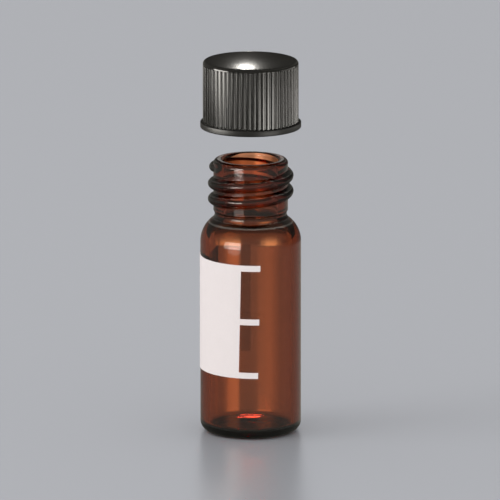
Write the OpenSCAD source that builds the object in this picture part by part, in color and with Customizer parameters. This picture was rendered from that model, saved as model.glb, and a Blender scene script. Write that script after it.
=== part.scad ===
// Small laboratory sample vial: a blown glass body with a screw neck and a fired write-on
// panel, and a moulded screw cap with a sealing liner. The cap is drawn raised off the neck.
// Millimetres. Z is up, the base stands on z = 0 and the axis is x = y = 0.
// The write-on panel's bars face the front, which is -Y.

/* [Glass body] */
// height of the glass from the base to the rim of the mouth
glass_h = 32; // [30:0.5:45]
// outside diameter of the body
body_d = 11.6; // [11.2:0.1:11.8]
// thickness of the glass in the body wall
wall = 1.0; // [0.8:0.05:1.2]
// thickness of the glass in the middle of the base
floor_t = 1.0; // [0.9:0.05:2]
// radius of the rounded heel around the base
heel_r = 1.2; // [0.8:0.1:1.6]
// height of the hollow under the base
punt_h = 0.3; // [0.1:0.05:0.5]
// radius of the rounded shoulder
shoulder_r = 3.4; // [3:0.05:3.5]

/* [Neck] */
// outside diameter of the neck between the threads
neck_d = 8.6; // [8.4:0.1:8.7]
// diameter of the bore through the neck
bore_d = 6.3; // [4.4:0.1:6.4]
// height from the top of the straight body, where the shoulder starts, to the rim
neck_h = 9.7; // [9.4:0.05:12]
// depth of the rolled groove where the neck meets the shoulder
neck_groove = 0.15; // [0:0.01:0.2]

/* [Screw thread] */
// rise of the thread in one turn
pitch = 1.814; // [1.7:0.002:2]
// how far the glass ridge stands out of the neck
ridge_h = 0.64; // [0.5:0.01:0.66]
// half the width of the glass ridge at its root
ridge_half = 0.72; // [0.5:0.01:0.74]
// turns of ridge on the neck
ridge_turns = 2.31; // [1.5:0.01:2.4]
// depth of the moulded ridge inside the cap
cap_ridge_h = 0.6; // [0.4:0.01:0.62]
// half the width of the cap's ridge at its root
cap_ridge_half = 0.42; // [0.3:0.01:0.44]
// turns of ridge inside the cap
cap_ridge_turns = 1.9; // [1:0.05:1.95]

/* [Cap] */
// height of the cap
cap_h = 7.8; // [7.6:0.1:10]
// outside diameter over the ribs
cap_d = 11; // [11:0.02:11.6]
// diameter of the flange around the cap's open end
flange_d = 11.6; // [11.4:0.02:12.4]
// height of the flange
flange_h = 0.68; // [0.4:0.02:0.9]
// number of grip ribs around the cap
ribs = 58; // [40:1:60]
// depth and half width of the rounded grooves between the ribs
groove = 0.15; // [0.1:0.01:0.17]
// thickness of the cap's closed top
top_t = 1.0; // [0.8:0.05:1.4]
// how far the cap is raised above its screwed-down position
lift = 9.2; // [0:0.1:12]

/* [Liner] */
// thickness of the sealing disc
liner_t = 1.3; // [1:0.05:1.5]

/* [Write-on panel] */
// thickness of the fired coating
panel_t = 0.06; // [0.03:0.01:0.1]
// height of the panel's lower edge
panel_z = 7.35; // [6:0.05:8]
// height of the panel
panel_h = 13.3; // [12:0.1:14]
// angle that the plain part of the panel covers
panel_angle = 118; // [90:1:150]
// angle that each of the three bars sticks out from the panel
bar_angle = 22; // [10:1:30]
// width of each bar
bar_w = 0.7; // [0.4:0.05:1.2]

/* [Hidden] */
$fn = 96;
body_r = body_d / 2;
inner_r = body_r - wall;
neck_r = neck_d / 2;
bore_r = bore_d / 2;
shoulder_z = glass_h - neck_h;            // the shoulder starts here
shoulder_x = body_r - shoulder_r;         // its distance from the axis
fillet_r = 0.7;                           // hollow curve between the shoulder and the neck
fillet_x = neck_r - neck_groove + fillet_r;
fillet_z = shoulder_z + sqrt(pow(shoulder_r + fillet_r, 2) - pow(fillet_x - shoulder_x, 2));
neck_z = fillet_z + sqrt(pow(fillet_r, 2) - pow(fillet_r - neck_groove, 2)); // straight from here up
throat_r = 0.6;                           // rounded glass where the inside opens out
inside_r = shoulder_r - wall;
throat_x = bore_r + throat_r;
throat_z = shoulder_z + sqrt(pow(inside_r + throat_r, 2) - pow(throat_x - shoulder_x, 2));
lip_r = 0.5;                              // outer corner of the rim
mouth_r = 0.35;                           // inner corner of the rim
floor_r = 0.4;                            // inner corner of the floor
helix_z = glass_h - 5.61;                 // height of the ridge's line at angle 0
ridge_from = 90;                          // the ridge starts at the back
step = 7.5;                               // degrees between two sections of a ridge
root_r = neck_r + ridge_h + 0.05;         // bore of the cap, clear of the glass ridge
cap_r = cap_d / 2;
flange_r = flange_d / 2;
flange_edge = 0.12;                       // rounded edges of the flange
edge_r = 0.3;                             // rounded edge of the top
edge_h = 0.4;                             // the ribs stop this far below the top
seat = cap_h - top_t - liner_t;           // height of the liner's face inside the cap
cap_z = glass_h - seat + lift;            // height of the cap's open end
cap_first = cap_z + 1.2;                  // the cap's ridge starts this high
cap_from = 360 * (cap_first - helix_z - pitch / 2) / pitch; // half a pitch from the glass

// a smooth rise from 0 to 1
function ease(x) = (1 - cos(180 * min(max(x, 0), 1))) / 2;

// The cross-section of a ridge: pairs of position across it and height, both 0 to 1.
function section(n, power) = [for (i = [0:n]) let (t = 2 * i / n - 1) [t, pow(1 - t * t, power)]];

// A helical ridge that fades in and out at its ends. side is 1 for a ridge that stands out
// from a shaft of radius r and -1 for one that stands into a bore.
module ridge(r, side, height, half, shape, z0, from, turns, fade) {
    count = ceil(turns * 360 / step);
    wide = len(shape) + 2;
    rings = [for (i = [0:count]) let (
            a = from + turns * 360 * i / count,
            z = z0 + pitch * turns * i / count,
            grow = ease(i / count * turns * 360 / fade) * ease((1 - i / count) * turns * 360 / fade),
            under = r - side * 0.04,
            sunk = r - side * 0.22)
        concat(
            [for (s = shape) let (q = under + side * (height + 0.04) * grow * s[1])
                [q * cos(a), q * sin(a), z + s[0] * half * (0.35 + 0.65 * grow)]],
            [[sunk * cos(a), sunk * sin(a), z + half * (0.35 + 0.65 * grow)],
             [sunk * cos(a), sunk * sin(a), z - half * (0.35 + 0.65 * grow)]])];
    points = [for (ring = rings) each ring];
    skin = [for (i = [0:count - 1]) for (j = [0:wide - 1]) let (
            k = (j + 1) % wide,
            a = i * wide + j,
            b = i * wide + k,
            c = (i + 1) * wide + k,
            d = (i + 1) * wide + j)
        each side > 0 ? [[a, b, c], [a, c, d]] : [[a, c, b], [a, d, c]]];
    near = [for (j = [0:wide - 1]) side > 0 ? wide - 1 - j : j];
    far = [for (j = [0:wide - 1]) count * wide + (side > 0 ? j : wide - 1 - j)];
    polyhedron(points, concat(skin, [near, far]), convexity = 6);
}

// Half of the outside outline of the glass, from the axis outwards.
module glass_outside() {
    difference() {
        union() {
            square([body_r - heel_r, shoulder_z]);
            translate([0, heel_r]) square([body_r, shoulder_z - heel_r]);
            translate([body_r - heel_r, heel_r]) circle(heel_r);
            intersection() {
                translate([shoulder_x, shoulder_z]) circle(shoulder_r);
                translate([0, shoulder_z - 1]) square([body_r, shoulder_r + 1]);
            }
            polygon([[0, shoulder_z], [shoulder_x, shoulder_z], [fillet_x, fillet_z],
                [neck_r, neck_z], [0, neck_z]]);
            translate([0, neck_z - 0.1]) square([neck_r, glass_h - lip_r - neck_z + 0.1]);
            translate([neck_r - lip_r, glass_h - lip_r]) circle(lip_r);
            translate([0, glass_h - 1]) square([neck_r - lip_r, 1]);
        }
        translate([fillet_x, fillet_z]) circle(fillet_r);
        polygon([[0, -1], [3.8, -1], [3.8, 0], [2.4, punt_h * 0.7], [0, punt_h]]);
    }
}

// Half of the inside outline of the glass.
module glass_inside() {
    difference() {
        union() {
            translate([0, floor_t]) square([inner_r - floor_r, 3]);
            translate([0, floor_t + floor_r]) square([inner_r, shoulder_z - floor_t - floor_r]);
            translate([inner_r - floor_r, floor_t + floor_r]) circle(floor_r);
            intersection() {
                translate([shoulder_x, shoulder_z]) circle(inside_r);
                translate([0, shoulder_z - 1]) square([body_r, inside_r + 1]);
            }
            polygon([[0, shoulder_z], [shoulder_x, shoulder_z], [throat_x, throat_z],
                [bore_r, throat_z], [0, throat_z]]);
            translate([0, throat_z - 0.1]) square([bore_r, glass_h]);
            difference() {
                translate([0, glass_h - mouth_r]) square([bore_r + mouth_r, 1]);
                translate([bore_r + mouth_r, glass_h - mouth_r]) circle(mouth_r);
            }
        }
        translate([throat_x, throat_z]) circle(throat_r);
    }
}

// The glass in one piece: base, body, shoulder, neck and its thread.
module glass() {
    color([0.42, 0.2, 0.1, 0.6]) {
        rotate_extrude() difference() {
            glass_outside();
            glass_inside();
        }
        ridge(neck_r, 1, ridge_h, ridge_half, section(8, 0.7),
            helix_z + pitch * ridge_from / 360, ridge_from, ridge_turns, 40);
    }
}

// A slice of a tube around the body, from angle a over a sweep, between two heights.
module slice(inner, outer, a, sweep, z, h) {
    rotate([0, 0, a]) rotate_extrude(angle = sweep) translate([inner, z]) square([outer - inner, h]);
}

// The write-on panel: a plain patch with three bars at its right-hand edge.
module panel() {
    edge = -102.3;
    gap = (panel_h - 3 * bar_w) / 2;
    color([0.92, 0.9, 0.89]) difference() {
        slice(body_r, body_r + panel_t, edge - panel_angle, panel_angle + bar_angle, panel_z, panel_h);
        for (i = [0, 1])
            slice(body_r - 1, body_r + 1, edge, bar_angle + 5, panel_z + bar_w + i * (gap + bar_w), gap);
    }
}

// The cap's side seen from above: flat ribs with a rounded groove between each two.
module ribbed_outline() {
    difference() {
        circle(cap_r);
        for (i = [0:ribs - 1]) rotate(360 * (i + 0.5) / ribs) translate([cap_r, 0]) circle(groove);
    }
}

// A disc with rounded edges, drawn as half of its outline.
module rounded_disc(r, h, edge) {
    square([r - edge, h]);
    translate([0, edge]) square([r, h - 2 * edge]);
    translate([r - edge, edge]) circle(edge);
    translate([r - edge, h - edge]) circle(edge);
}

// The cap in one piece: closed top, ribbed side, flange and inner thread.
module cap() {
    color([0.1, 0.1, 0.1]) {
        difference() {
            translate([0, 0, cap_z]) union() {
                rotate_extrude() rounded_disc(flange_r, flange_h, flange_edge);
                linear_extrude(cap_h - edge_h) ribbed_outline();
                translate([0, 0, cap_h - edge_h]) rotate_extrude() {
                    square([cap_r - 0.04 - edge_r, edge_h]);
                    square([cap_r - 0.04, edge_h - edge_r]);
                    translate([cap_r - 0.04 - edge_r, edge_h - edge_r]) circle(edge_r);
                }
            }
            translate([0, 0, cap_z - 1]) cylinder(r = root_r, h = cap_h - top_t + 1);
            translate([0, 0, cap_z - 0.01]) cylinder(r1 = root_r + 0.3, r2 = root_r, h = 0.3);
        }
        ridge(root_r, -1, cap_ridge_h, cap_ridge_half, section(6, 1), cap_first, cap_from,
            cap_ridge_turns, 40);
    }
}

// The sealing disc that sits under the cap's top.
module liner() {
    color([0.85, 0.83, 0.8])
        translate([0, 0, cap_z + seat]) cylinder(r = root_r - 0.06, h = liner_t);
}

glass();
panel();
cap();
liner();
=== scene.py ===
import math

import bpy
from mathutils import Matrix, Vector


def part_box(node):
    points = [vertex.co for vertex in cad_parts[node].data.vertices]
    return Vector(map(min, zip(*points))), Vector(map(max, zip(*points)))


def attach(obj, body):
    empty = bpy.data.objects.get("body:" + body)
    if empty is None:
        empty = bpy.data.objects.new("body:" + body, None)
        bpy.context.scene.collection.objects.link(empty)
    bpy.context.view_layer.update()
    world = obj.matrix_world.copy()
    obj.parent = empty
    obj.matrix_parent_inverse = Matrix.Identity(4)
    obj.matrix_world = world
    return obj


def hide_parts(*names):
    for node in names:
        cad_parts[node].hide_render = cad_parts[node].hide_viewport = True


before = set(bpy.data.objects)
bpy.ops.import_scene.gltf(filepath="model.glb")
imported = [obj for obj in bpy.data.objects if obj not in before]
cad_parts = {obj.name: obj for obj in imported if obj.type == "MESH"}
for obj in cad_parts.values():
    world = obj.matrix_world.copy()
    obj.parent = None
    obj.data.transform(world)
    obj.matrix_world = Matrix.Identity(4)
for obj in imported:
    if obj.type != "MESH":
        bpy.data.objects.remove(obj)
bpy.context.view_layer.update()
scene = bpy.context.scene
mm = 0.001


# sizes are in mm and angles in degrees; outlines are lists of (radius, height)

def arc(cx, cz, radius, startDeg, endDeg, steps):
    points = []
    for i in range(steps + 1):
        a = math.radians(startDeg + (endDeg - startDeg) * i / steps)
        points.append((cx + radius * math.cos(a), cz + radius * math.sin(a)))
    return points


def line(x0, z0, x1, z1, steps):
    return [(x0 + (x1 - x0) * i / steps, z0 + (z1 - z0) * i / steps) for i in range(1, steps + 1)]


def ease(x):
    x = min(max(x, 0.0), 1.0)
    return (1 - math.cos(math.pi * x)) / 2


def newObject(name, verts, faces):
    mesh = bpy.data.meshes.new(name)
    mesh.from_pydata([Vector(v) * mm for v in verts], [], faces)
    mesh.validate()
    mesh.shade_smooth()
    obj = bpy.data.objects.new(name, mesh)
    scene.collection.objects.link(obj)
    return obj


def ring(verts, angles, radius, z):
    # radius may be one number or one for each column
    first = len(verts)
    for i, a in enumerate(angles):
        r = radius[i] if isinstance(radius, list) else radius
        verts.append((r * math.cos(a), r * math.sin(a), z))
    return list(range(first, len(verts)))


def addFace(faces, corners, flip=False):
    # corners that fall together count once
    face = list(dict.fromkeys(corners))
    if len(face) > 2:
        faces.append(face[::-1] if flip else face)


def stitch(faces, low, high):
    for i in range(len(low)):
        j = (i + 1) % len(low)
        addFace(faces, (low[i], low[j], high[j], high[i]))


def sweepRings(verts, faces, angles, outline, last, base=0.0, inward=False):
    # one ring after another along the outline, each joined to the last
    for radius, z in outline:
        new = ring(verts, angles, radius, base + z)
        if inward:
            stitch(faces, new, last)
        else:
            stitch(faces, last, new)
        last = new
    return last


def fan(verts, faces, edge, z, upward):
    tip = len(verts)
    verts.append((0, 0, z))
    for i in range(len(edge)):
        j = (i + 1) % len(edge)
        faces.append([edge[i], edge[j], tip] if upward else [edge[j], edge[i], tip])


def threadedBand(verts, faces, angles, low, high, zLow, zHigh, wall, side, t):
    # rows follow the helix, so the ridge keeps a clean edge; low and high are the rings it joins
    count = len(angles)
    ridgeRows, valleyRows = 14, 8
    perTurn = ridgeRows + valleyRows
    endWidth = 0.35  # share of the ridge's width that is left at its ends
    sink = 0.04  # the ends run out just under the wall
    first, last = t["from"], t["from"] + 360 * t["turns"]
    # enough turns below and above to cover the whole band
    turnLow = math.floor((zLow - t["z0"]) / t["pitch"]) - 2
    turnHigh = math.ceil((zHigh - t["z0"]) / t["pitch"]) + 1

    def grow(angle):
        return ease((angle - first) / t["fade"]) * ease((last - angle) / t["fade"])

    def edge(angle, which):
        z = t["z0"] + t["pitch"] * angle / 360
        return z + which * t["half"] * (endWidth + (1 - endWidth) * grow(angle))

    rows = []
    for row in range((turnHigh - turnLow) * perTurn + 1):
        turn, k = divmod(row, perTurn)
        ids = []
        for i, a in enumerate(angles):
            angle = math.degrees(a) + 360 * (turn + turnLow)
            r = wall
            if k <= ridgeRows:
                across = -math.cos(math.pi * k / ridgeRows)
                middle = (edge(angle, -1) + edge(angle, 1)) / 2
                z = middle + across * (edge(angle, 1) - middle)
                tall = max(0.0, 1 - across * across) ** t["power"]
                r = wall + side * max(0.0, (t["height"] + sink) * grow(angle) * tall - sink)
            else:
                share = (k - ridgeRows) / valleyRows
                z = edge(angle, 1) * (1 - share) + edge(angle + 360, -1) * share
            if z <= zLow:
                ids.append(low[i])
            elif z >= zHigh:
                ids.append(high[i])
            else:
                ids.append(len(verts))
                verts.append((r * math.cos(a), r * math.sin(a), z))
        rows.append(ids)
    for row in range(len(rows) - 1):
        for i in range(count):
            below, above = rows[row], rows[row + 1]
            if i + 1 < count:
                corners = (below[i], below[i + 1], above[i + 1], above[i])
            elif row + 1 + perTurn < len(rows):
                corners = (below[i], rows[row + perTurn][0], rows[row + 1 + perTurn][0], above[i])
            else:
                corners = (below[i], high[0], high[0], above[i])
            addFace(faces, corners, flip=side < 0)


# glass body

glassMade = {
    "height": 31.985,  # a hair under the CAD rim, so that it never meets the liner
    "bodyR": 5.8, "wall": 1.0, "floor": 1.0, "floorRings": (2.6, 1.2), "corner": 0.4, "heel": 1.2,
    "punt": 0.3,
    "hollow": ((1.2, 0.9), (2.4, 0.7), (3.1, 0.4), (3.6, 0.1167), (3.8, 0.0)),  # radius, share of punt
    "shoulderR": 3.4, "shoulderZ": 22.3, "neckR": 4.3, "boreR": 3.15, "throatR": 0.6,
    "filletR": 0.7, "groove": 0.15, "lipR": 0.5, "mouthR": 0.35, "columns": 192,
    "thread": {"z0": 26.39, "pitch": 1.814, "from": 90.0, "turns": 2.31, "fade": 40.0,
               "half": 0.72, "height": 0.64, "power": 0.7},
}


def touchingArc(cx, cz, cr, x, r):
    # height of an arc of radius r about x that touches the shoulder's, and the angle between them
    z = cz + math.sqrt((cr + r) ** 2 - (x - cx) ** 2)
    return z, math.degrees(math.atan2(z - cz, x - cx))


def glassOutline():
    # from under the base up to the neck, over the rim, and down inside to the floor
    g = glassMade
    heel, lip, mouth, throat, fr = g["heel"], g["lipR"], g["mouthR"], g["throatR"], g["filletR"]
    cx = g["bodyR"] - g["shoulderR"]
    fx = g["neckR"] - g["groove"] + fr
    fz, tilt = touchingArc(cx, g["shoulderZ"], g["shoulderR"], fx, fr)
    grooveEnd = 180 - math.degrees(math.acos((fr - g["groove"]) / fr))
    outside = [(r, g["punt"] * share) for r, share in g["hollow"]]
    outside += line(outside[-1][0], 0, g["bodyR"] - heel, 0, 2)
    outside += arc(g["bodyR"] - heel, heel, heel, -90, 0, 16)[1:]
    outside += line(g["bodyR"], heel, g["bodyR"], g["shoulderZ"], 24)
    outside += arc(cx, g["shoulderZ"], g["shoulderR"], 0, tilt, 24)[1:]
    outside += arc(fx, fz, fr, 180 + tilt, grooveEnd, 20)[1:]
    rim = arc(g["neckR"] - lip, g["height"] - lip, lip, 0, 90, 10)
    rim += line(g["neckR"] - lip, g["height"], g["boreR"] + mouth, g["height"], 1)
    rim += arc(g["boreR"] + mouth, g["height"] - mouth, mouth, 90, 180, 8)[1:]
    tx = g["boreR"] + throat
    inR = g["shoulderR"] - g["wall"]
    tz, lean = touchingArc(cx, g["shoulderZ"], inR, tx, throat)
    inside = line(g["boreR"], g["height"] - mouth, g["boreR"], tz, 16)
    inside += arc(tx, tz, throat, 180, 180 + lean, 10)[1:]
    inside += arc(cx, g["shoulderZ"], inR, lean, 0, 16)[1:]
    inR = g["bodyR"] - g["wall"]
    inside += line(inR, g["shoulderZ"], inR, g["floor"] + g["corner"], 20)
    inside += arc(inR - g["corner"], g["floor"] + g["corner"], g["corner"], 0, -90, 12)[1:]
    inside += [(r, g["floor"]) for r in g["floorRings"]]
    return outside, rim + inside


def makeGlass():
    g = glassMade
    angles = [2 * math.pi * i / g["columns"] for i in range(g["columns"])]
    verts, faces = [], []
    outside, rimAndInside = glassOutline()
    under = ring(verts, angles, *outside[0])
    fan(verts, faces, under, g["punt"], False)
    neckRing = sweepRings(verts, faces, angles, outside[1:], under)
    lipRing = ring(verts, angles, *rimAndInside[0])
    threadedBand(verts, faces, angles, neckRing, lipRing, outside[-1][1], rimAndInside[0][1],
                 g["neckR"], 1, g["thread"])
    last = sweepRings(verts, faces, angles, rimAndInside[1:], lipRing)
    fan(verts, faces, last, g["floor"], True)
    obj = newObject("glassVial", verts, faces)
    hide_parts("glass")
    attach(obj, "vial")
    return obj


# write-on panel

# angles run from the right-hand side; lean is mm per mm
panelMade = {
    "rightEdge": -102.3, "sweep": 118, "barSweep": 22, "barHeight": 0.7, "gap": 0.004,
    "thickness": 0.057, "lean": 0.021, "sharpDeg": 40,
}


def makePanel():
    p = panelMade
    low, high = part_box("panel")
    zLow, zHigh = low[2] / mm, high[2] / mm
    inner = glassMade["bodyR"] + p["gap"]
    outer = glassMade["bodyR"] + p["thickness"]
    verts, faces = [], []
    middle = (zLow + zHigh) / 2
    half = p["barHeight"] / 2
    heights = [zLow, zLow + p["barHeight"], middle - half, middle + half, zHigh - p["barHeight"], zHigh]
    columns = [p["rightEdge"] + i for i in range(-p["sweep"], p["barSweep"] + 1)]
    ids = {}

    def point(i, j, k):
        # k is 1 on the face and 0 on the glass; the print sits a little askew
        if (i, j, k) not in ids:
            along = math.radians(columns[i] - p["rightEdge"]) * outer
            a = math.radians(columns[i]) + p["lean"] * (heights[j] - middle) / outer
            r = outer if k else inner
            ids[(i, j, k)] = len(verts)
            verts.append((r * math.cos(a), r * math.sin(a), heights[j] - p["lean"] * along))
        return ids[(i, j, k)]

    def quad(*corners):
        faces.append([point(*corner) for corner in corners])

    # one column a degree; past the panel's edge only every second band goes on, as a bar
    bands = range(len(heights) - 1)
    cells = {(i, j) for i in range(len(columns) - 1) for j in bands if i < p["sweep"] or j % 2 == 0}
    for i, j in cells:
        ii, jj = i + 1, j + 1
        quad((i, j, 1), (ii, j, 1), (ii, jj, 1), (i, jj, 1))
        quad((i, j, 0), (i, jj, 0), (ii, jj, 0), (ii, j, 0))
        if (i - 1, j) not in cells:
            quad((i, j, 0), (i, j, 1), (i, jj, 1), (i, jj, 0))
        if (ii, j) not in cells:
            quad((ii, j, 1), (ii, j, 0), (ii, jj, 0), (ii, jj, 1))
        if (i, j - 1) not in cells:
            quad((i, j, 1), (i, j, 0), (ii, j, 0), (ii, j, 1))
        if (i, jj) not in cells:
            quad((i, jj, 0), (i, jj, 1), (ii, jj, 1), (ii, jj, 0))
    obj = newObject("writeOnPanel", verts, faces)
    obj.data.set_sharp_from_angle(angle=math.radians(p["sharpDeg"]))
    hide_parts("panel")
    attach(obj, "vial")
    return obj


# screw cap

# ribFoot and ribHead are how far the rings at the ribs' ends stand from the flange and the top edge
capMade = {
    "height": 7.8, "ribR": 5.5, "groove": 0.15, "corner": 0.035, "ribs": 58,
    "flangeR": 5.8, "flangeH": 0.68, "flangeEdge": 0.12, "rootR": 4.99, "topT": 1.0,
    "edgeR": 0.37, "edgeH": 0.4, "ribFoot": (0.005, 0.06), "ribHead": (0.1, 0.03), "ribRows": 8,
    "dish": 0.12, "dishRings": (5.0, 4.7, 4.3, 3.8, 3.2, 2.6, 2.0, 1.4, 0.8, 0.3),
    "leadIn": 0.3, "ridgeStart": 1.2, "wallTop": 5.4, "ceilingRings": (4.99, 4.79, 3.0, 1.0),
    "sharpDeg": 60,
    "thread": {"pitch": 1.814, "turns": 1.9, "fade": 40.0, "half": 0.42, "height": 0.6,
               "power": 1.0},
}


def ribShape():
    # angle and radius of each column round the cap: flat ribs with round grooves between them
    c = capMade
    pitchDeg, ribR, cut, corner = 360 / c["ribs"], c["ribR"], c["groove"], c["corner"]
    cutDeg, cornerDeg = math.degrees(cut / ribR), math.degrees(corner / ribR)
    edgeDeg = pitchDeg / 2 - cutDeg
    half = [(0, ribR), (edgeDeg - 1.6 * cornerDeg, ribR),
            (edgeDeg - 0.6 * cornerDeg, ribR - 0.2 * corner), (edgeDeg, ribR - 0.8 * corner)]
    for share in (0.9, 0.68, 0.38, 0.0):
        half.append((pitchDeg / 2 - cutDeg * share, ribR - math.sqrt(1 - share * share) * cut))
    oneRib = [(-o, r) for o, r in half[:0:-1]] + half[:-1]
    angles = [math.radians(k * pitchDeg + o) for k in range(c["ribs"]) for o, r in oneRib]
    return angles, [r for o, r in oneRib] * c["ribs"]


def makeCap():
    c = capMade
    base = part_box("cap")[0][2] / mm
    verts, faces = [], []
    angles, shape = ribShape()
    edge, flangeTop, top = c["flangeEdge"], c["flangeH"], c["height"] - c["edgeH"]
    ribFoot = [flangeTop + step for step in c["ribFoot"]]
    ribHead = [top - step for step in c["ribHead"]]
    rows = [(c["flangeR"] - edge, 0.0)]
    rows += arc(c["flangeR"] - edge, edge, edge, -90, 0, 4)[1:]
    rows += arc(c["flangeR"] - edge / 2, flangeTop - edge / 2, edge / 2, 0, 90, 4)
    rows += [(shape, z) for z in ribFoot]
    rows += [(shape, z) for _, z in line(0, ribFoot[-1], 0, ribHead[0], c["ribRows"])]
    rows += [(shape, ribHead[-1]), (c["ribR"], top)]
    rows += arc(c["ribR"] - c["edgeR"], c["height"] - c["edgeR"], c["edgeR"], 0, 90, 8)
    flatR = c["ribR"] - c["edgeR"]
    rows += [(r, c["height"] - c["dish"] * (1 - (r / flatR) ** 2)) for r in c["dishRings"]]

    mouth = ring(verts, angles, c["rootR"] + c["leadIn"], base)
    last = sweepRings(verts, faces, angles, rows, mouth, base)
    fan(verts, faces, last, base + c["height"] - c["dish"], True)

    # inside: lead-in, threaded wall and ceiling
    zLow, zHigh = base + c["leadIn"], base + c["wallTop"]
    wallLow = ring(verts, angles, c["rootR"], zLow)
    stitch(faces, wallLow, mouth)
    wallHigh = ring(verts, angles, c["rootR"], zHigh)
    t = dict(c["thread"])
    t["z0"] = glassMade["thread"]["z0"] + t["pitch"] / 2
    t["from"] = 360 * (base + c["ridgeStart"] - t["z0"]) / t["pitch"]
    threadedBand(verts, faces, angles, wallLow, wallHigh, zLow, zHigh, c["rootR"], -1, t)
    ceiling = base + c["height"] - c["topT"]
    flat = [(r, ceiling) for r in c["ceilingRings"]]
    last = sweepRings(verts, faces, angles, flat, wallHigh, inward=True)
    fan(verts, faces, last, ceiling, False)
    obj = newObject("screwCap", verts, faces)
    obj.data.set_sharp_from_angle(angle=math.radians(c["sharpDeg"]))
    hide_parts("cap")
    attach(obj, "screw_cap")
    return obj


glassVial = makeGlass()
print("glass made,", len(glassVial.data.polygons), "faces")
writeOnPanel = makePanel()
print("panel made,", len(writeOnPanel.data.polygons), "faces")
screwCap = makeCap()
print("cap made,", len(screwCap.data.polygons), "faces")


# materials: scales are per metre, depths and radii in metres

def newMaterial(name):
    mat = bpy.data.materials.new(name)
    mat.use_nodes = True
    nodes = mat.node_tree.nodes
    return mat, nodes, mat.node_tree.links, nodes["Principled BSDF"]


def newGroup(name, inputs, outputs):
    tree = bpy.data.node_groups.new(name, "ShaderNodeTree")
    for label, value in inputs:
        socket = tree.interface.new_socket(label, in_out="INPUT", socket_type="NodeSocketFloat")
        socket.default_value = value
    for label, kind in outputs:
        tree.interface.new_socket(label, in_out="OUTPUT", socket_type=kind)
    return tree, tree.nodes.new("NodeGroupInput"), tree.nodes.new("NodeGroupOutput")


def useGroup(nodes, tree, **values):
    node = nodes.new("ShaderNodeGroup")
    node.node_tree = tree
    for label, value in values.items():
        node.inputs[label].default_value = value
    return node


def math2(tree, operation, a, b):
    # a and b are numbers or sockets
    node = tree.nodes.new("ShaderNodeMath")
    node.operation = operation
    for slot, value in enumerate((a, b)):
        if isinstance(value, (int, float)):
            node.inputs[slot].default_value = value
        else:
            tree.links.new(value, node.inputs[slot])
    return node.outputs[0]


def scaled(tree, source, factor, offset=0.0):
    return math2(tree, "ADD", math2(tree, "MULTIPLY", source, factor), offset)


def spreadAround(tree, source, middle, width):
    # turns a mask of 0 to 1 into values around the middle
    return scaled(tree, source, width, middle - width / 2)


def mixColours(tree, factor, a, b):
    node = tree.nodes.new("ShaderNodeMix")
    node.data_type = "RGBA"
    tree.links.new(factor, node.inputs["Factor"])
    for slot, value in ((6, a), (7, b)):
        if isinstance(value, tuple):
            node.inputs[slot].default_value = (*value, 1)
        else:
            tree.links.new(value, node.inputs[slot])
    return node.outputs[2]


def noise(tree, scale, detail, seed):
    # scale is a number or a socket
    place = tree.nodes.new("ShaderNodeTexCoord")
    node = tree.nodes.new("ShaderNodeTexNoise")
    node.noise_dimensions = "4D"
    node.inputs["W"].default_value = seed
    node.inputs["Detail"].default_value = detail
    tree.links.new(place.outputs["Object"], node.inputs["Vector"])
    if isinstance(scale, (int, float)):
        node.inputs["Scale"].default_value = scale
    else:
        tree.links.new(scale, node.inputs["Scale"])
    return node.outputs["Fac"]


# each noise is the same in every run
seeds = {"grain": 1.7, "blotch": 5.2, "specks": 9.4, "speckSpread": 3.3, "wear": 7.1}
dustMade = {"spreadScale": 220, "level": 0.56, "contrast": 9.0, "onSides": 0.12}
wearMade = {"contrast": 4.0, "breakScale": 1400, "samples": 4}


def makeGrain():
    # fine unevenness of a moulded, printed or blown surface
    tree, given, result = newGroup(
        "surfaceGrain", (("Scale", 3000), ("Depth", 0.00001), ("Blotch Scale", 300)),
        (("Value", "NodeSocketFloat"), ("Blotch", "NodeSocketFloat"), ("Normal", "NodeSocketVector")))
    fine = noise(tree, given.outputs["Scale"], 4, seeds["grain"])
    blotch = noise(tree, given.outputs["Blotch Scale"], 3, seeds["blotch"])
    bump = tree.nodes.new("ShaderNodeBump")
    bump.inputs["Strength"].default_value = 1.0
    tree.links.new(given.outputs["Depth"], bump.inputs["Distance"])
    tree.links.new(fine, bump.inputs["Height"])
    tree.links.new(fine, result.inputs["Value"])
    tree.links.new(blotch, result.inputs["Blotch"])
    tree.links.new(bump.outputs[0], result.inputs["Normal"])
    return tree


def makeDust():
    # specks that settle on what faces up, and a few everywhere
    k = dustMade
    tree, given, result = newGroup("settledDust", (("Amount", 0.5), ("Scale", 5000)),
                                   (("Mask", "NodeSocketFloat"),))
    specks = noise(tree, given.outputs["Scale"], 2, seeds["specks"])
    spread = noise(tree, k["spreadScale"], 2, seeds["speckSpread"])
    geometry = tree.nodes.new("ShaderNodeNewGeometry")
    split = tree.nodes.new("ShaderNodeSeparateXYZ")
    tree.links.new(geometry.outputs["Normal"], split.inputs[0])
    up = math2(tree, "MAXIMUM", split.outputs["Z"], k["onSides"])
    few = math2(tree, "MULTIPLY", math2(tree, "SUBTRACT", specks, k["level"]), k["contrast"])
    few = math2(tree, "MINIMUM", math2(tree, "MAXIMUM", few, 0.0), 1.0)
    mask = math2(tree, "MULTIPLY", math2(tree, "MULTIPLY", few, spread), up)
    tree.links.new(math2(tree, "MULTIPLY", mask, given.outputs["Amount"]), result.inputs["Mask"])
    return tree


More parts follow.
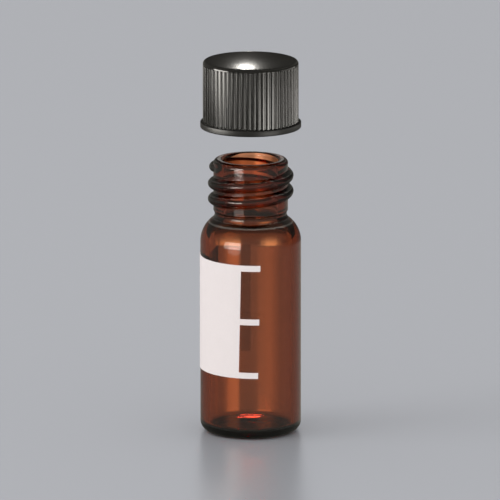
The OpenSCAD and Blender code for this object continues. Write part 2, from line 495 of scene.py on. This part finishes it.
def makeWear():
    # rubbed edges: where the rounded normal leaves the true one, broken up by noise
    k = wearMade
    tree, given, result = newGroup("edgeWear", (("Radius", 0.00005), ("Amount", 1.0)),
                                   (("Mask", "NodeSocketFloat"),))
    bevel = tree.nodes.new("ShaderNodeBevel")
    bevel.samples = k["samples"]
    tree.links.new(given.outputs["Radius"], bevel.inputs["Radius"])
    geometry = tree.nodes.new("ShaderNodeNewGeometry")
    dot = tree.nodes.new("ShaderNodeVectorMath")
    dot.operation = "DOT_PRODUCT"
    tree.links.new(bevel.outputs[0], dot.inputs[0])
    tree.links.new(geometry.outputs["Normal"], dot.inputs[1])
    edge = math2(tree, "MULTIPLY", math2(tree, "SUBTRACT", 1.0, dot.outputs["Value"]), k["contrast"])
    patches = noise(tree, k["breakScale"], 4, seeds["wear"])
    broken = math2(tree, "MULTIPLY", math2(tree, "MINIMUM", edge, 1.0), patches)
    tree.links.new(math2(tree, "MULTIPLY", broken, given.outputs["Amount"]), result.inputs["Mask"])
    return tree


grain, dust, wear = makeGrain(), makeDust(), makeWear()


def addGrain(nodes, k):
    sizes = {"Scale": k["grainScale"], "Depth": k["grainDepth"], "Blotch Scale": k["blotchScale"]}
    return useGroup(nodes, grain, **sizes)


glassLook = {
    "tint": (1.0, 0.99, 0.98), "smearTint": (0.97, 0.955, 0.94), "absorb": (0.725, 0.3525, 0.035),
    "density": 2000.0, "ior": 1.5, "grainScale": 260, "grainDepth": 0.000012, "blotchScale": 140,
    "dust": 0.35, "dustScale": 2600, "smearRoughness": 0.03,
}


def makeAmberGlass():
    # blown glass: long soft waves, a trace of dust and handling
    k = glassLook
    mat, nodes, links, bsdf = newMaterial("amberGlass")
    tree = mat.node_tree
    waves = addGrain(nodes, k)
    specks = useGroup(nodes, dust, Amount=k["dust"], Scale=k["dustScale"])
    # smears cover the half of the surface where the blotches are high
    smear = math2(tree, "MAXIMUM", scaled(tree, waves.outputs["Blotch"], 2.0, -1.0), 0.0)
    links.new(mixColours(tree, smear, k["tint"], k["smearTint"]), bsdf.inputs["Base Color"])
    dirt = math2(tree, "ADD", smear, specks.outputs["Mask"])
    links.new(math2(tree, "MULTIPLY", dirt, k["smearRoughness"]), bsdf.inputs["Roughness"])
    links.new(waves.outputs["Normal"], bsdf.inputs["Normal"])
    bsdf.inputs["Transmission Weight"].default_value = 1.0
    bsdf.inputs["IOR"].default_value = k["ior"]
    volume = nodes.new("ShaderNodeVolumeAbsorption")
    volume.inputs["Color"].default_value = (*k["absorb"], 1)
    volume.inputs["Density"].default_value = k["density"]
    links.new(volume.outputs["Volume"], nodes["Material Output"].inputs["Volume"])
    return mat


enamelLook = {
    "colour": (0.95, 0.868, 0.85), "thin": (0.87, 0.79, 0.77), "edge": (0.6, 0.5, 0.46),
    "roughness": 0.7, "roughnessWidth": 0.2, "wearRadius": 0.00006, "wear": 1.0,
    "grainScale": 5200, "grainDepth": 0.000012, "blotchScale": 700,
}


def makeEnamel():
    # fired screen print: mottled cover, fine grain and thin edges
    k = enamelLook
    mat, nodes, links, bsdf = newMaterial("whiteEnamel")
    tree = mat.node_tree
    fine = addGrain(nodes, k)
    worn = useGroup(nodes, wear, Radius=k["wearRadius"], Amount=k["wear"])
    cover = math2(tree, "ADD", fine.outputs["Blotch"], fine.outputs["Value"])
    colour = mixColours(tree, scaled(tree, cover, 0.5), k["colour"], k["thin"])
    links.new(mixColours(tree, worn.outputs["Mask"], colour, k["edge"]), bsdf.inputs["Base Color"])
    rough = spreadAround(tree, fine.outputs["Value"], k["roughness"], k["roughnessWidth"])
    links.new(rough, bsdf.inputs["Roughness"])
    links.new(fine.outputs["Normal"], bsdf.inputs["Normal"])
    return mat


plasticLook = {
    "colour": (0.0085, 0.0079, 0.007), "blotch": (0.0105, 0.0097, 0.0085),
    "rubbed": (0.016, 0.0152, 0.014), "dustColour": (0.3, 0.28, 0.25), "dust": 0.05, "dustScale": 6000,
    "specular": 0.25, "roughness": 0.12, "blotchRoughness": 0.03, "rubbedRoughness": 0.08,
    "flangeSatin": 0.3, "satinMargin": 0.02, "wearRadius": 0.00004, "wear": 0.7,
    "grainScale": 7000, "grainDepth": 0.0000006, "blotchScale": 450,
}


def makeBlackPlastic():
    # moulded plastic: fine mould grain, rubbed rib edges, a little dust
    k = plasticLook
    mat, nodes, links, bsdf = newMaterial("blackPlastic")
    bsdf.inputs["Specular IOR Level"].default_value = k["specular"]
    tree = mat.node_tree
    fine = addGrain(nodes, k)
    worn = useGroup(nodes, wear, Radius=k["wearRadius"], Amount=k["wear"])
    specks = useGroup(nodes, dust, Amount=k["dust"], Scale=k["dustScale"])
    colour = mixColours(tree, fine.outputs["Blotch"], k["colour"], k["blotch"])
    colour = mixColours(tree, worn.outputs["Mask"], colour, k["rubbed"])
    colour = mixColours(tree, specks.outputs["Mask"], colour, k["dustColour"])
    links.new(colour, bsdf.inputs["Base Color"])
    rough = scaled(tree, fine.outputs["Blotch"], k["blotchRoughness"], k["roughness"])
    rough = math2(tree, "ADD", rough, scaled(tree, worn.outputs["Mask"], k["rubbedRoughness"]))
    # the flange below the ribs is more satin
    split = nodes.new("ShaderNodeSeparateXYZ")
    links.new(nodes.new("ShaderNodeTexCoord").outputs["Object"], split.inputs[0])
    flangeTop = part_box("cap")[0][2] + (capMade["flangeH"] + k["satinMargin"]) * mm
    onFlange = math2(tree, "LESS_THAN", split.outputs["Z"], flangeTop)
    rough = math2(tree, "ADD", rough, scaled(tree, onFlange, k["flangeSatin"]))
    links.new(rough, bsdf.inputs["Roughness"])
    links.new(fine.outputs["Normal"], bsdf.inputs["Normal"])
    return mat


linerLook = {
    "colour": (0.72, 0.70, 0.66), "blotch": (0.64, 0.62, 0.58), "roughness": 0.5,
    "roughnessWidth": 0.16, "wearRadius": 0.00012, "wear": 0.6,
    "grainScale": 2600, "grainDepth": 0.000008, "blotchScale": 500,
}


def makeLinerLook():
    # cut rubber sheet: soft mottling and a fine matt grain
    k = linerLook
    mat, nodes, links, bsdf = newMaterial("linerDisc")
    tree = mat.node_tree
    fine = addGrain(nodes, k)
    worn = useGroup(nodes, wear, Radius=k["wearRadius"], Amount=k["wear"])
    colour = mixColours(tree, fine.outputs["Blotch"], k["colour"], k["blotch"])
    links.new(mixColours(tree, worn.outputs["Mask"], colour, k["blotch"]), bsdf.inputs["Base Color"])
    rough = spreadAround(tree, fine.outputs["Value"], k["roughness"], k["roughnessWidth"])
    links.new(rough, bsdf.inputs["Roughness"])
    links.new(fine.outputs["Normal"], bsdf.inputs["Normal"])
    return mat


def dress(obj, mat):
    obj.data.materials.clear()
    obj.data.materials.append(mat)


dress(glassVial, makeAmberGlass())
dress(writeOnPanel, makeEnamel())
dress(screwCap, makeBlackPlastic())
linerMat = makeLinerLook()
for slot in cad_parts["liner"].material_slots:
    slot.material = linerMat
print("materials made")


# studio: places and sizes in mm, angles in degrees

studio = {
    "aim": (-0.08, 0.0, 21.2), "elevation": 12.6, "distance": 1500.0, "lens": 938.0, "sensor": 36.0,
    "floorHalf": 3000.0, "floorColour": (0.262, 0.268, 0.287), "floorRoughness": 0.3,
    "ambient": (1.0, 1.0, 1.0), "ambientStrength": 1.15, "darkStrength": 0.02,
    "backdrop": (0.45, 0.455, 0.48),
}

# the dome that gloss reflects, laid out by the way a surface must face to mirror it to the scene
# camera's fixed place: tilt runs up, side to the right, lineFront from the front (-1) to the back
dome = {
    "colour": (1.0, 0.97, 0.86),
    "tilt": ((-1.0, 0.03), (-0.6, 0.12), (-0.2, 0.25), (-0.1, 0.4), (0.0, 0.55), (0.3, 0.5), (0.5, 0.3),
             (0.75, 0.2), (0.9, 0.1), (1.0, 0.03)),
    "side": ((-1.0, 0.4), (-0.85, 0.56), (-0.7, 0.75), (0.0, 1.0), (0.67, 0.9), (0.83, 0.65),
             (1.0, 0.6)),
    "cornerTilt": ((-1.0, 0), (0.02, 0), (0.12, 0.6), (0.7, 0.6), (0.9, 0), (1.0, 0)),
    "cornerSide": ((-1.0, 0), (0.5, 0), (0.8, 1.0), (1.0, 1.0)),
    "lineTilt": ((0.6, 0), (0.665, 0), (0.68, 1.7), (0.71, 1.7), (0.725, 0), (0.8, 0)),
    "lineFront": ((-1.0, 1.0), (-0.6, 1.0), (-0.35, 0.25), (0.0, 0.1), (1.0, 0.0)),
}

# azimuths are measured from the front, positive to the right
softboxColour = (1.0, 0.965, 0.9)
softboxes = {
    "leftSoftbox": {"azimuths": (-62, -22.5), "heights": (6.5, 59.0), "distance": 120, "radiance": 4.5,
                    "lights": ("glassVial", "liner")},
    "leftCore": {"azimuths": (-50, -22.5), "heights": (5.5, 59.0), "distance": 119, "radiance": 3.5,
                 "lights": ("glassVial", "liner")},
    "leftLow": {"azimuths": (-52, -22.5), "heights": (-2.5, 6.5), "distance": 120, "radiance": 1.5,
                "lights": ("glassVial",)},
    "capLeftSoftbox": {"azimuths": (-96, -56), "heights": (15, 70), "distance": 120,
                       "radiance": 26.0, "lights": ("screwCap",)},
    "capRightSoftbox": {"azimuths": (24, 62), "heights": (0, 17), "distance": 120,
                        "radiance": 22.0, "lights": ("screwCap",)},
    "capSideSoftbox": {"azimuths": (76, 130), "heights": (12, 60), "distance": 120,
                       "radiance": 1.6, "lights": ("screwCap",)},
    "backdropLight": {"azimuths": (125, 235), "heights": (0, 3000), "distance": 2900,
                      "radiance": 0.73, "lights": ("floor",), "colour": (0.97, 0.985, 1.04)},
    "backdropRight": {"azimuths": (35, 125), "heights": (0, 3000), "distance": 2900,
                      "radiance": 0.29, "lights": ("floor",), "colour": (1.0, 1.03, 1.29)},
    "backdropLeft": {"azimuths": (235, 325), "heights": (0, 3000), "distance": 2900,
                     "radiance": 0.29, "lights": ("floor",), "colour": (1.0, 1.03, 1.29)},
    "lipLight": {"azimuths": (176, 184), "heights": (86, 112), "distance": 300,
                 "radiance": 0.5, "lights": ("glassVial",)},
    "capTopLight": {"azimuths": (180.0, 180.55), "heights": (55.5, 57.5), "distance": 90,
                    "radiance": 50.0, "lights": ("screwCap",)},
}
# a small light low behind: the red glint on the far side of the inner floor
baseGlint = {"behind": 30.0, "height": 6.95, "aim": (0, 4, 1), "width": 5.4, "tall": 0.6,
             "radiance": 1.6, "colour": (1, 0.38, 0.6), "spread": 24}
# lights for what is matt; the second evens out the print towards its bars
mattLights = {
    "keyLight": {"azimuth": -75, "elevation": 45, "distance": 500, "size": 250, "radiance": 3.8},
    "printLight": {"azimuth": 40, "elevation": 25, "distance": 500, "size": 250, "radiance": 1.5,
                   "lights": ("writeOnPanel",)},
}

# a glowing card that stands behind the glass and is seen only through it; its bands are painted light
# seen in the glass:
# each zone is a range of heights with its own bands of light across, stops are (mm, strength)
bounceCard = {
    "back": 6.6, "halfWidth": 6.2, "heights": (0.3, 32.4),
    "zones": {
        "heel": {
            "heights": (0.0, 0.9), "colour": (1.0, 1.05, 1.0),
            "bands": ((-5.9, 0), (-5.5, 0.12), (-5.1, 0), (-4.3, 0), (-3.4, 0.35), (-2.65, 0.8),
                      (-2.0, 0.8), (-1.25, 0), (0.5, 0), (1.3, 0.7), (2.3, 0.7), (3.0, 0.25), (3.7, 0))},
        "body": {
            "heights": (0.9, 20.05), "colour": (1.0, 1.05, 1.0),
            "bands": ((-5.9, 0), (-5.5, 0.12), (-5.1, 0), (-4.5, 0), (-3.6, 0.2), (-2.65, 0.72),
                      (-2.0, 0.75), (-1.25, 0), (0.45, 0), (1.1, 0.2), (1.8, 0.29), (2.5, 0.35),
                      (3.3, 0.22), (4.4, 0))},
        "shoulder": {
            "heights": (20.05, 28.6), "colour": (1.0, 1.7, 2.2),
            "bands": ((-5.9, 0), (-5.3, 0.7), (-5.0, 0.3), (-4.65, 0.9), (-3.95, 1.4), (-3.2, 1.7),
                      (-2.6, 1.7), (-2.0, 1.7), (-1.4, 0.9), (-0.95, 0), (0.8, 0), (1.4, 0.5),
                      (1.97, 1.2), (2.55, 1.8), (3.15, 1.8), (3.8, 0.8), (4.4, 0.3), (5.0, 0)),
            "fade": ((20.05, 0), (20.17, 0.3), (20.3, 0.8), (20.5, 1.0), (20.8, 0.85), (21.1, 0.55),
                     (21.4, 0.3), (21.7, 0.14), (22.0, 0.06), (22.5, 0.02), (24.2, 0.03), (31.0, 0.03))},
        "mouth": {
            "heights": (28.6, 32.4), "colour": (1.0, 0.95, 1.0),
            "bands": ((-3.6, 0), (-3.0, 0.15), (-2.4, 0.22), (-1.8, 0.3), (-1.4, 0.5), (-0.9, 0.5),
                      (-0.4, 0.4), (0.0, 0.4), (0.4, 0.5), (0.9, 0.95), (1.4, 0.85), (1.9, 0.6),
                      (2.4, 0.5), (2.9, 0.35), (3.4, 0)),
            "fade": ((28.6, 0), (29.0, 1.2), (30.3, 1.2), (31.0, 0.6), (32.4, 0.55))},
    },
    # painted shade seen through the glass: how much of what lies behind the card comes through it, by
    # height, and a darker strip
    "through": ((0.0, 1.0), (20.3, 1.0), (20.6, 0.75), (21.7, 0.72), (22.5, 0.5), (22.9, 0.25),
                (24.0, 0.35), (25.0, 0.7), (32.4, 0.7)),
    "shadeStrip": {"x": (-1.35, 0.0), "z": (7.9, 20.5), "darker": 0.4},
}


def makeFloor():
    s = studio["floorHalf"]
    obj = newObject("floor", [(-s, -s, 0), (s, -s, 0), (s, s, 0), (-s, s, 0)], [(0, 1, 2, 3)])
    mat, nodes, links, bsdf = newMaterial("floorPaper")
    bsdf.inputs["Base Color"].default_value = (*studio["floorColour"], 1)
    bsdf.inputs["Roughness"].default_value = studio["floorRoughness"]
    obj.data.materials.append(mat)
    obj.visible_glossy = False


def direction(azimuth, elevation=0.0):
    a, e = math.radians(azimuth), math.radians(elevation)
    return Vector((math.sin(a) * math.cos(e), -math.cos(a) * math.cos(e), math.sin(e)))


towardsCamera = direction(0, studio["elevation"])


def addLight(name, width, height, radiance, location, way, lights=()):
    # shines against its way, on everything or only on the named objects
    data = bpy.data.lights.new(name, "AREA")
    data.shape = "RECTANGLE"
    data.size, data.size_y = width * mm, height * mm
    data.energy = radiance * data.size * data.size_y * math.pi
    obj = bpy.data.objects.new(name, data)
    obj.location = location * mm
    obj.rotation_euler = way.to_track_quat("Z", "Y").to_euler()
    obj.visible_camera = False
    scene.collection.objects.link(obj)
    if lights:
        lit = bpy.data.collections.new(name + "Lit")
        for target in lights:
            lit.objects.link(bpy.data.objects[target])
        obj.light_linking.receiver_collection = lit
    return obj


def addSoftbox(name, azimuths, heights, distance, radiance, lights, colour=softboxColour):
    # only for gloss: the sky and the matt lights do the rest
    way = direction((azimuths[0] + azimuths[1]) / 2)
    place = way * distance + Vector((0, 0, (heights[0] + heights[1]) / 2))
    width = 2 * distance * math.tan(math.radians((azimuths[1] - azimuths[0]) / 2))
    obj = addLight(name, width, heights[1] - heights[0], radiance, place, way, lights)
    obj.data.color = colour
    obj.visible_diffuse = False


def addBaseGlint():
    k = baseGlint
    place = Vector((0, k["behind"], k["height"]))
    way = place - Vector(k["aim"])
    obj = addLight("baseGlint", k["width"], k["tall"], k["radiance"], place, way, ["glassVial"])
    obj.data.color = k["colour"]
    obj.data.spread = math.radians(k["spread"])
    obj.visible_diffuse = False


def addMattLight(name, azimuth, elevation, distance, size, radiance, lights=()):
    way = direction(azimuth, elevation)
    obj = addLight(name, size, size, radiance, way * distance, way, lights)
    obj.visible_glossy = False


def stopCurve(tree, source, stops, scale=1.0):
    # a smooth curve through (place, strength) stops
    nodes, links = tree.nodes, tree.links
    first, last = stops[0][0], stops[-1][0]
    ends = nodes.new("ShaderNodeMapRange")
    ends.inputs["From Min"].default_value = first * scale
    ends.inputs["From Max"].default_value = last * scale
    links.new(source, ends.inputs["Value"])
    curve = nodes.new("ShaderNodeFloatCurve")
    curve.mapping.clip_max_y = 8.0  # room for strengths over 1
    points = curve.mapping.curves[0].points
    points[0].location = (0, stops[0][1])
    points[-1].location = (1, stops[-1][1])
    for place, strength in stops[1:-1]:
        points.new((place - first) / (last - first), strength)
    curve.mapping.update()
    links.new(ends.outputs[0], curve.inputs["Value"])
    return curve.outputs[0]


def between(tree, source, low, high):
    # 1 from low to high, in mm, and 0 elsewhere
    return math2(tree, "MULTIPLY", math2(tree, "GREATER_THAN", source, low * mm),
                 math2(tree, "LESS_THAN", source, high * mm))


def makeGlowingCard():
    c = bounceCard
    half, back = c["halfWidth"], c["back"]
    low, high = c["heights"]
    corners = [(-half, back, low), (half, back, low), (half, back, high), (-half, back, high)]
    obj = newObject("bounceCard", corners, [(0, 1, 2, 3)])
    mat = bpy.data.materials.new("bounceCard")
    mat.use_nodes = True
    tree = mat.node_tree
    nodes, links = tree.nodes, tree.links
    nodes.clear()
    place = nodes.new("ShaderNodeNewGeometry")
    split = nodes.new("ShaderNodeSeparateXYZ")
    links.new(place.outputs["Position"], split.inputs[0])
    across, up = split.outputs["X"], split.outputs["Z"]

    # painted light: the glowing bands, seen only through the glass
    strength, colour = 0.0, (1, 1, 1)
    for zone in c["zones"].values():
        inside = between(tree, up, *zone["heights"])
        bands = math2(tree, "MULTIPLY", inside, stopCurve(tree, across, zone["bands"], mm))
        if "fade" in zone:
            bands = math2(tree, "MULTIPLY", bands, stopCurve(tree, up, zone["fade"], mm))
        strength = math2(tree, "ADD", strength, bands)
        colour = mixColours(tree, inside, colour, zone["colour"])
    glow = nodes.new("ShaderNodeEmission")
    links.new(colour, glow.inputs["Color"])
    links.new(strength, glow.inputs["Strength"])

    # painted shade: a darker strip and, by height, less of what lies behind let through
    shadeStrip = c["shadeStrip"]
    dark = math2(tree, "MULTIPLY", between(tree, across, *shadeStrip["x"]), between(tree, up, *shadeStrip["z"]))
    dark = math2(tree, "MULTIPLY", dark, shadeStrip["darker"])
    through = stopCurve(tree, up, c["through"], mm)
    through = math2(tree, "MULTIPLY", through, math2(tree, "SUBTRACT", 1.0, dark))
    clear = nodes.new("ShaderNodeBsdfTransparent")
    links.new(mixColours(tree, through, (0, 0, 0), (1, 1, 1)), clear.inputs["Color"])
    add = nodes.new("ShaderNodeAddShader")
    links.new(glow.outputs[0], add.inputs[0])
    links.new(clear.outputs[0], add.inputs[1])
    out = nodes.new("ShaderNodeOutputMaterial")
    links.new(add.outputs[0], out.inputs["Surface"])
    obj.data.materials.append(mat)
    obj.visible_camera = obj.visible_glossy = obj.visible_diffuse = obj.visible_shadow = False


makeFloor()
makeGlowingCard()
for name, box in softboxes.items():
    addSoftbox(name, **box)
addBaseGlint()
for name, light in mattLights.items():
    addMattLight(name, **light)


def makeWorld():
    # full strength on what is matt, the dome in reflections, and dark through glass
    world = bpy.data.worlds.new("world")
    world.use_nodes = True
    tree = world.node_tree
    nodes, links = tree.nodes, tree.links
    day = nodes["Background"]
    day.inputs["Color"].default_value = (*studio["ambient"], 1)
    day.inputs["Strength"].default_value = studio["ambientStrength"]
    way = nodes.new("ShaderNodeTexCoord")
    half = nodes.new("ShaderNodeVectorMath")
    half.inputs[1].default_value = towardsCamera
    links.new(way.outputs["Generated"], half.inputs[0])
    unit = nodes.new("ShaderNodeVectorMath")
    unit.operation = "NORMALIZE"
    links.new(half.outputs[0], unit.inputs[0])
    facing = nodes.new("ShaderNodeSeparateXYZ")
    links.new(unit.outputs[0], facing.inputs[0])

    def domePart(up, across, axis="X"):
        return math2(tree, "MULTIPLY", stopCurve(tree, facing.outputs["Z"], dome[up]),
                     stopCurve(tree, facing.outputs[axis], dome[across]))

    # the soft dome, darker in one corner, with a bright line
    corner = math2(tree, "SUBTRACT", 1.0, domePart("cornerTilt", "cornerSide"))
    soft = math2(tree, "MULTIPLY", domePart("tilt", "side"), corner)
    gloss = nodes.new("ShaderNodeBackground")
    gloss.inputs["Color"].default_value = (*dome["colour"], 1)
    links.new(math2(tree, "ADD", soft, domePart("lineTilt", "lineFront", "Y")), gloss.inputs["Strength"])
    dark = nodes.new("ShaderNodeBackground")
    dark.inputs["Strength"].default_value = studio["darkStrength"]
    ray = nodes.new("ShaderNodeLightPath")
    glossOrDay = nodes.new("ShaderNodeMixShader")
    links.new(ray.outputs["Is Glossy Ray"], glossOrDay.inputs["Fac"])
    links.new(day.outputs[0], glossOrDay.inputs[1])
    links.new(gloss.outputs[0], glossOrDay.inputs[2])
    # only a straight look through the glass is dark: matt surfaces get the day through it
    seen = nodes.new("ShaderNodeMixShader")
    direct = math2(tree, "LESS_THAN", ray.outputs["Diffuse Depth"], 0.5)
    links.new(math2(tree, "MULTIPLY", ray.outputs["Is Transmission Ray"], direct), seen.inputs["Fac"])
    links.new(glossOrDay.outputs[0], seen.inputs[1])
    links.new(dark.outputs[0], seen.inputs[2])
    behind = nodes.new("ShaderNodeBackground")
    behind.inputs["Color"].default_value = (*studio["backdrop"], 1)
    total = nodes.new("ShaderNodeMixShader")
    links.new(ray.outputs["Is Camera Ray"], total.inputs["Fac"])
    links.new(seen.outputs[0], total.inputs[1])
    links.new(behind.outputs[0], total.inputs[2])
    links.new(total.outputs[0], nodes["World Output"].inputs["Surface"])
    scene.world = world


def makeCamera():
    data = bpy.data.cameras.new("camera")
    data.lens = studio["lens"]
    data.sensor_width = studio["sensor"]
    data.clip_start, data.clip_end = 0.01, 100.0
    camera = bpy.data.objects.new("camera", data)
    camera.location = (Vector(studio["aim"]) + towardsCamera * studio["distance"]) * mm
    camera.rotation_euler = (math.radians(90 - studio["elevation"]), 0, 0)
    scene.collection.objects.link(camera)
    scene.camera = camera


makeWorld()
makeCamera()
scene.view_settings.view_transform = "Standard"
print("studio made")
